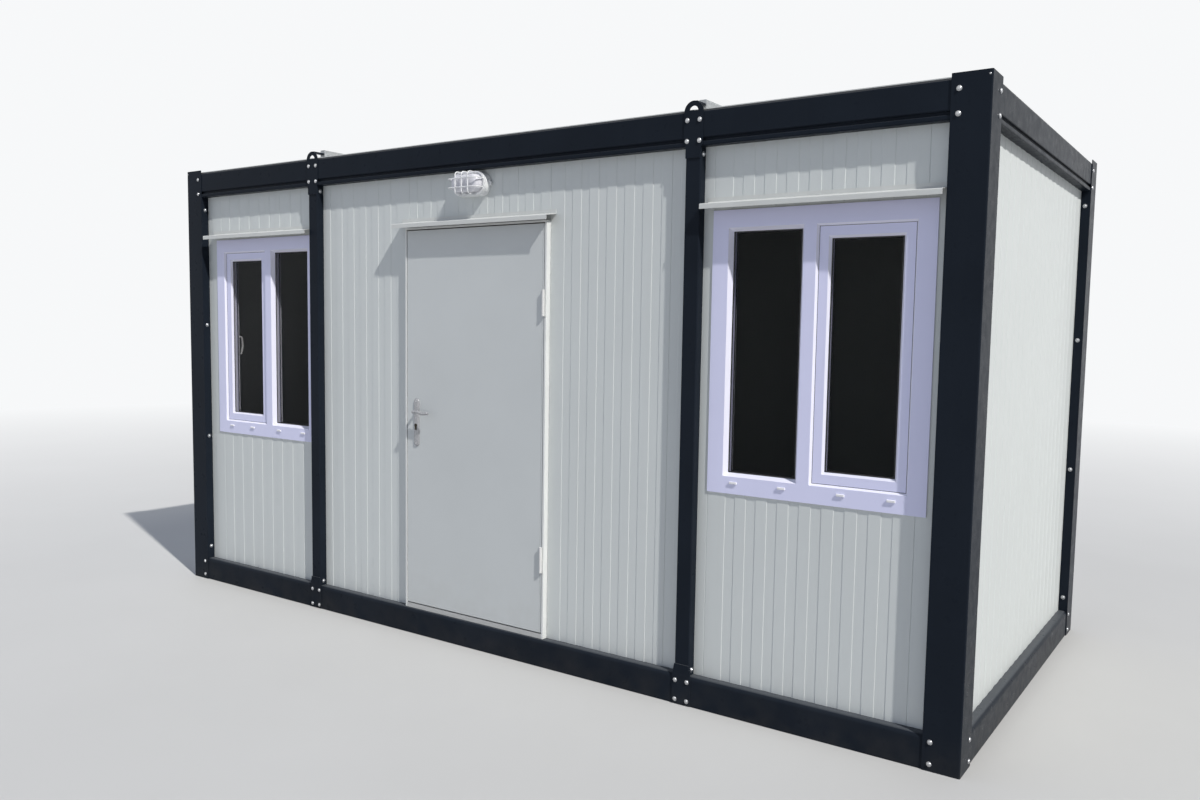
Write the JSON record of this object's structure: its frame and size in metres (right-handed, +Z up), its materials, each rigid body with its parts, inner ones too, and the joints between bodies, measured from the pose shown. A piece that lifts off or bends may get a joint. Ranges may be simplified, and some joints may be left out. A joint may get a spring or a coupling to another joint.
{
  "type": "portable site cabin",
  "caption": "Portable site cabin with a bolted steel frame, ribbed sandwich panel walls, a hinged door with lever handle and two windows in the front.",
  "frame": {"origin": "middle of the cabin's bounding box at ground level", "axes": "+Z up, +X along the front to the right as seen from outside, -Y out of the front with the door"},
  "size_m": [4.9, 2.344, 2.643],
  "materials": {
    "frame_paint": "satin anthracite paint",
    "ceiling": "white coated board",
    "door_paint": "light grey satin paint",
    "flashing": "pale grey folded sheet",
    "floor": "board with vinyl sheet",
    "galvanised": "galvanised",
    "handle_metal": "satin",
    "hinge_metal": "zinc plated",
    "lamp_plastic": "white moulded",
    "lamp_glass": "ribbed clear",
    "wall_panel": "pale grey coated steel facing",
    "lock_brass": "satin",
    "threshold": "mill finish",
    "window_profile": "white profile with lilac film",
    "window_glass": "clear"
  },
  "bodies": {
    "cabin": {"base_beam_ends": "frame_paint", "base_beam_front": "frame_paint", "base_beam_rear": "frame_paint", "ceiling": "ceiling", "corner_post_front_left": "frame_paint", "corner_post_front_right": "frame_paint", "corner_post_rear_left": "frame_paint", "corner_post_rear_right": "frame_paint", "door_frame": "door_paint", "door_hood": "flashing", "floor_deck": "floor", "floor_joists": "galvanised", "foot_plates": "frame_paint", "hinge_frame_halves": "hinge_metal", "lamp_base": "lamp_plastic", "lamp_cage": "lamp_plastic", "lamp_glass": "lamp_glass", "left_end_wall": "wall_panel", "lifting_plates": "frame_paint", "mid_posts": "frame_paint", "rear_wall_left": "wall_panel", "rear_wall_middle": "wall_panel", "rear_wall_right": "wall_panel", "right_end_wall": "wall_panel", "roof_caps": "galvanised", "roof_deck": "galvanised", "roof_trim": "flashing", "threshold": "threshold", "top_beam_ends": "frame_paint", "top_beam_front": "frame_paint", "top_beam_rear": "frame_paint", "wall_left_of_door": "wall_panel", "wall_over_door": "wall_panel", "wall_over_window_left": "wall_panel", "wall_over_window_right": "wall_panel", "wall_right_of_door": "wall_panel", "wall_under_window_left": "wall_panel", "wall_under_window_right": "wall_panel", "window_bay_sides_left": "wall_panel", "window_bay_sides_right": "wall_panel", "window_drain_caps": "window_profile", "window_frame_left": "window_profile", "window_frame_right": "window_profile", "window_glass": "window_glass", "window_handles": "window_profile", "window_hoods": "flashing", "window_sashes": "window_profile"},
    "door": {"door_leaf": "door_paint", "handle_plates": "handle_metal", "lock_cylinder": "lock_brass", "hinge_leaf_halves": "hinge_metal"},
    "lever": {"lever_handle": "handle_metal"}
  },
  "joints": [
    {"name": "door_swing", "type": "hinge", "parent": "cabin", "child": "door", "pos_m": [0.4275, -1.117, 1.15], "axis": [0, 0, 1], "range_deg": [0, 110]},
    {"name": "lever_turn", "type": "hinge", "parent": "door", "child": "lever", "pos_m": [-0.426, -1.088, 1.203], "axis": [0, 1, 0], "range_deg": [0, 40], "stiffness_Nm_per_rad": 1.5, "springref_deg": -28.65}
  ]
}
